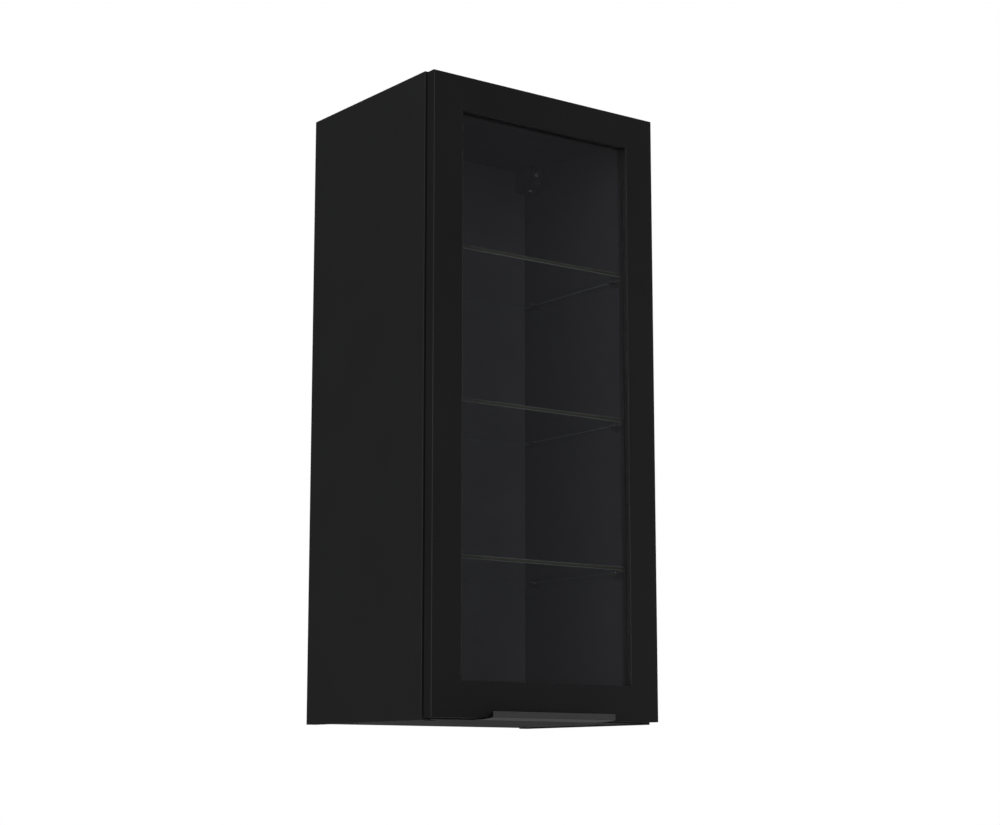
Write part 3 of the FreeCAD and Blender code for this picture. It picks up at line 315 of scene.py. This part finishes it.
def door_foil():
    """Super-matt foil wrapped over fibreboard: almost smooth, with faint handling marks."""
    g = Graph("matt_black_foil")
    tone = g.mottle(g.noise(220, detail=2), grey(0.0082), grey(0.0094, -0.01), 0.35, 0.65)
    specks = g.remap(g.noise(1.1, detail=2), 0.6, 0.8, 0, 0.3)
    tone = g.blend(specks, tone, grey(0.018))
    rub = g.worn_edges(1.4, 22, 0.5, 0.72, 0.0, 0.3)
    tone = g.blend(rub, tone, grey(0.015, 0.02))
    # painted light: the downward face above the pane is painted paler, which softens the shade it
    # sits in
    lintel_painted_light = g.times(g.remap(g.facing("Z"), -0.7, -0.9), g.within(*UPPER_HALF))
    tone = g.blend(lintel_painted_light, tone, grey(0.040))
    # painted shade: the foil's colour darkens where nearby parts close it in, as in the reveal
    # and the gap to the carcass
    tone = g.darkened(g.shade(14, deepest=0.65), tone)
    smears = g.noise(45, detail=6, roughness=0.6, where=g.stretched(z=0.5))
    leather = g.bump(g.noise(0.7, detail=2, roughness=0.5), 0.03, strength=0.45)
    normal = g.bump(g.noise(120, detail=1), 0.2, strength=0.25, under=leather)
    g.set(Base_Color=tone, Roughness=g.remap(smears, 0.35, 0.7, 0.58, 0.46))
    g.set(Normal=normal, Specular_IOR_Level=0.18)
    return g.material


def plastic(name, level, roughness, grain_mm):
    """Moulded plastic with a fine spark-eroded grain and faint flow clouds."""
    g = Graph(name)
    tone = g.mottle(g.noise(18, detail=3), grey(level * 0.85), grey(level * 1.2))
    rub = g.remap(g.noise(6, detail=3), 0.4, 0.7, 0.1, 0.7)
    g.set(Base_Color=g.blend(g.times(g.edges(0.5), rub), tone, scaled(grey(level), 2.2)))
    g.set(Roughness=g.remap(g.noise(9, detail=4), 0.3, 0.7, roughness - 0.06, roughness + 0.06))
    g.set(Normal=g.bump(g.cells(grain_mm), 0.03, strength=0.5))
    return g.material


def clear_vinyl():
    """Soft clear pads with a slight haze."""
    g = Graph("clear_vinyl")
    haze = g.noise(4, detail=3)
    g.set(Base_Color=g.mottle(haze, (0.045, 0.047, 0.047), (0.070, 0.072, 0.070)))
    g.set(Roughness=g.remap(haze, 0.3, 0.7, 0.25, 0.4), Normal=g.bump(haze, 0.05, strength=0.4))
    g.set(Transmission_Weight=0.7, IOR=1.46)
    return g.material


# ---------------------------------------------------------------- metals, glass and wood

NICKEL = (0.62, 0.59, 0.55)
BLACK_NICKEL = (0.035, 0.034, 0.036)
STEEL = (0.52, 0.52, 0.53)
ZINC = (0.60, 0.61, 0.63)
DULL_ZINC = (0.34, 0.34, 0.35)
ANTHRACITE = (0.120, 0.120, 0.123)
# painted shade: near-black for the handle's end faces, standing in for the deep shadow inside the
# open end of the grip
PAINTED_END_SHADE = grey(0.006)
# short of 1, because plating, anodising and cast skin scatter a little light
METALLIC = 0.8


def brushed_metal(name, colour, roughness, along=(1.0, 1.0, 1.0), line_mm=0.25, wear=0.5,
                  painted_shade_ends=False):
    """Plated or anodised metal: fine drawn lines along one axis, cloudy, with rubbed edges."""
    g = Graph(name)
    lines = g.noise(line_mm, detail=3, roughness=0.6, where=g.stretched(*along))
    cloud = g.noise(16, detail=4)
    tone = g.mottle(lines, scaled(colour, 0.82), colour)
    tone = g.blend(g.remap(cloud, 0.55, 0.8, 0, 0.35), tone, scaled(colour, 0.7))
    rub = g.worn_edges(0.5, 8, 0.35, 0.7, 0.2, 1.0)
    tone = g.blend(g.times(rub, wear), tone, scaled(colour, 2.2, most=0.85))
    # painted shade: end faces facing along X are painted near-black
    if painted_shade_ends:
        end = g.remap(g.math("ABSOLUTE", g.facing("X")), 0.4, 0.6)
        tone = g.blend(end, tone, PAINTED_END_SHADE)
    rough = g.remap(lines, 0.25, 0.75, roughness - 0.05, roughness + 0.08)
    rough = g.plus(rough, g.remap(cloud, 0.5, 0.8, 0.0, 0.07))
    g.set(Base_Color=tone, Roughness=rough, Normal=g.bump(lines, 0.012, strength=0.5))
    g.set(Metallic=METALLIC)
    return g.material


def cast_zinc():
    """Die-cast zinc with a fine frosty grain."""
    g = Graph("cam_zinc")
    grain = g.noise(0.9, detail=4)
    g.set(Base_Color=g.mottle(grain, (0.30, 0.30, 0.31), (0.52, 0.52, 0.54)))
    g.set(Roughness=g.remap(g.noise(3, detail=3), 0.3, 0.7, 0.38, 0.6))
    g.set(Normal=g.bump(grain, 0.05, strength=0.6), Metallic=METALLIC)
    return g.material


def door_pane():
    """Clear float glass with faint wipe marks and slight roller wave."""
    g = Graph("door_pane")
    wipes = g.noise(30, detail=6, roughness=0.62, where=g.stretched(z=0.4))
    g.set(Base_Color=g.mottle(wipes, (0.965, 0.955, 0.975), (0.940, 0.930, 0.952), 0.4, 0.75))
    g.set(Roughness=g.remap(wipes, 0.45, 0.8, 0.0, 0.035))
    g.set(Normal=g.bump(g.noise(240, detail=1), 0.15, strength=0.25))
    g.set(Transmission_Weight=1.0, IOR=1.5)
    g.pass_light((0.945, 0.940, 0.955))
    return g.material


def shelf_pane():
    """Clear glass with polished rims. The front one shows the glass's own green; the rear and
    side rims are painted pale grey, which is painted light.
    """
    g = Graph("shelf_pane")
    rim = g.remap(g.math("ABSOLUTE", g.facing("Z")), 0.9, 0.3)
    grind = g.noise(0.8, detail=4, roughness=0.6, where=g.stretched(0.15, 0.15))
    olive = g.mottle(grind, (0.0130, 0.0175, 0.0060), (0.0190, 0.0250, 0.0098))
    # painted light: the rear and side rims get a pale grey, standing in for the light they catch
    pale = g.mottle(grind, (0.060, 0.066, 0.063), (0.090, 0.096, 0.090))
    front = g.remap(g.facing("Y"), -0.3, -0.7)
    dust = g.noise(24, detail=5)
    face = g.mottle(dust, (0.968, 0.975, 0.966), (0.925, 0.935, 0.925), 0.5, 0.8)
    g.set(Base_Color=g.blend(rim, face, g.blend(front, pale, olive)))
    rough = g.remap(dust, 0.45, 0.8, 0.0, 0.03)
    g.set(Roughness=g.plus(rough, g.times(rim, 0.12)))
    g.set(Transmission_Weight=g.remap(rim, 0, 1, 1.0, 0.05), IOR=1.5)
    g.set(Normal=g.bump(g.times(grind, rim), 0.08, strength=0.5))
    g.pass_light((0.90, 0.93, 0.90))
    return g.material


def beech():
    """Fluted beech dowel: straight grain with short darker rays."""
    g = Graph("beech")
    grain = g.noise(1.2, detail=5, roughness=0.6, where=g.stretched(x=0.12))
    rays = g.remap(g.cells(1.1, where=g.stretched(x=0.3)), 0.25, 0.05, 0, 0.5)
    tone = g.mottle(grain, (0.50, 0.33, 0.18), (0.68, 0.49, 0.30))
    g.set(Base_Color=g.blend(rays, tone, (0.36, 0.21, 0.10)))
    g.set(Roughness=g.remap(grain, 0.3, 0.7, 0.5, 0.7), Normal=g.bump(grain, 0.1, strength=0.5))
    return g.material


LOOKS = {
    "board_laminate": black_laminate(),
    "back_board": fibre_back(),
    "door_foil": door_foil(),
    "bead_foil": plastic("black_bead", 0.0095, 0.5, grain_mm=0.5),
    "door_glass": door_pane(),
    "shelf_glass": shelf_pane(),
    "handle_aluminium": brushed_metal("anthracite_aluminium", ANTHRACITE, 0.42,
                                      along=(0.02, 1.0, 1.0), line_mm=0.22, wear=0.25,
                                      painted_shade_ends=True),
    "hinge_nickel": brushed_metal("hinge_nickel", NICKEL, 0.34, (1.0, 0.08, 1.0), 0.3),
    "pin_steel": brushed_metal("pin_steel", STEEL, 0.22, (1.0, 1.0, 6.0)),
    "screw_zinc": brushed_metal("screw_zinc", DULL_ZINC, 0.36, line_mm=0.4),
    "hook_steel": brushed_metal("hook_steel", ZINC, 0.33, (1.0, 0.1, 1.0), 0.3),
    "cam_zinc": cast_zinc(),
    "support_metal": brushed_metal("black_nickel", BLACK_NICKEL, 0.3, (0.1, 1.0, 1.0), 0.3),
    "hanger_plastic": plastic("hanger_plastic", 0.010, 0.5, grain_mm=0.5),
    "black_plastic": plastic("cap_plastic", 0.014, 0.45, grain_mm=0.6),
    "dowel_beech": beech(),
    "clear_rubber": clear_vinyl(),
    "bumper_rubber": plastic("bumper_rubber", 0.03, 0.6, grain_mm=0.4),
}
for part in frame["record"]["subparts"]:
    mesh = NODES[part["node"]].data
    mesh.materials.clear()
    mesh.materials.append(LOOKS[part["material_slot"]])


# ---------------------------------------------------------------- stage, light and camera

FLOOR_SIZE = 60
FLOOR_BELOW = 1.40
FLOOR_GLOW = grey(0.225), grey(0.235)
FLOOR_WHITE = grey(0.985), grey(1.0)
ROOM = (0.125, 0.126, 0.135)
BACKDROP = (1.0, 1.0, 1.0)
low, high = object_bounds()
middle = (low + high) / 2


def seen_directly(tree):
    """1 for what the camera sees itself or through clear glass, 0 for light and gloss."""
    path = tree.nodes.new("ShaderNodeLightPath").outputs
    straight = math_node(tree, "MAXIMUM", path["Is Camera Ray"], path["Is Transmission Ray"])
    bounces = math_node(tree, "ADD", path["Diffuse Depth"], path["Glossy Depth"])
    unscattered = math_node(tree, "LESS_THAN", bounces, 0.5)
    return math_node(tree, "MULTIPLY", straight, unscattered)


def floor():
    """A pale floor, white to the camera and a dimmer grey for light and gloss."""
    bpy.ops.mesh.primitive_plane_add(size=FLOOR_SIZE, location=(0, 0, low.z - FLOOR_BELOW))
    plane = bpy.context.object
    plane.name = "floor"
    g = Graph("pale_floor")
    cloud = g.noise(900, detail=2)
    mix = g.node("ShaderNodeMixShader")
    g.feed(mix.inputs[0], seen_directly(g.tree))
    for socket, colours in zip(mix.inputs[1:], (FLOOR_GLOW, FLOOR_WHITE)):
        glow = g.node("ShaderNodeEmission")
        g.feed(glow.inputs["Color"], g.blend(cloud, *colours))
        g.feed(socket, glow.outputs["Emission"])
    g.feed(g.output.inputs["Surface"], mix.outputs["Shader"])
    plane.data.materials.append(g.material)


def world():
    """White behind the object for the camera, and a dimmer grey room for light and gloss."""
    made = bpy.data.worlds.new("studio")
    bpy.context.scene.world = made
    made.use_nodes = True
    tree = made.node_tree
    tree.nodes.clear()
    out = tree.nodes.new("ShaderNodeOutputWorld")
    mix = tree.nodes.new("ShaderNodeMixShader")
    connect(tree, mix.inputs[0], seen_directly(tree))
    for socket, colour in zip(mix.inputs[1:], (ROOM, BACKDROP)):
        shade = tree.nodes.new("ShaderNodeBackground")
        shade.inputs["Color"].default_value = rgba(colour)
        connect(tree, socket, shade.outputs["Background"])
    connect(tree, out.inputs["Surface"], mix.outputs["Shader"])


def lamp(name, place, width, height, power):
    """A soft rectangular lamp, in metres and watts, turned towards the object's middle."""
    data = bpy.data.lights.new(name, "AREA")
    data.shape = "RECTANGLE"
    data.size = width
    data.size_y = height
    data.energy = power
    made = bpy.data.objects.new(name, data)
    bpy.context.scene.collection.objects.link(made)
    made.location = place
    made.rotation_euler = (middle - made.location).to_track_quat("-Z", "Y").to_euler()


# fitted to the object's corners; angles in degrees, the yaw turning from +X towards the wall
CAMERA_PLACE = (-1.799, -2.603, -0.946)
YAW, TILT = 53.22, 10.03
LENS = 75.5


def camera():
    data = bpy.data.cameras.new("camera")
    data.lens = LENS
    made = bpy.data.objects.new("camera", data)
    bpy.context.scene.collection.objects.link(made)
    made.location = CAMERA_PLACE
    made.rotation_euler = Euler((math.radians(90 + TILT), 0, math.radians(YAW - 90)))
    bpy.context.scene.camera = made


floor()
world()
lamp("key", (-6.1, -4.0, 0.3), width=4.0, height=4.0, power=338)
lamp("front", (-2.6, -6.0, 0.4), width=3.0, height=3.0, power=60)
lamp("fill", (6.0, -1.2, 0.3), width=3.0, height=4.0, power=92)
lamp("side", (5.6, 1.9, 0.4), width=3.0, height=3.0, power=190)
lamp("back", (3.0, 5.0, 2.5), width=3.5, height=3.0, power=150)
lamp("overhead", (0.0, 0.2, 4.5), width=4.0, height=3.0, power=110)
camera()
bpy.context.scene.view_settings.view_transform = "Standard"
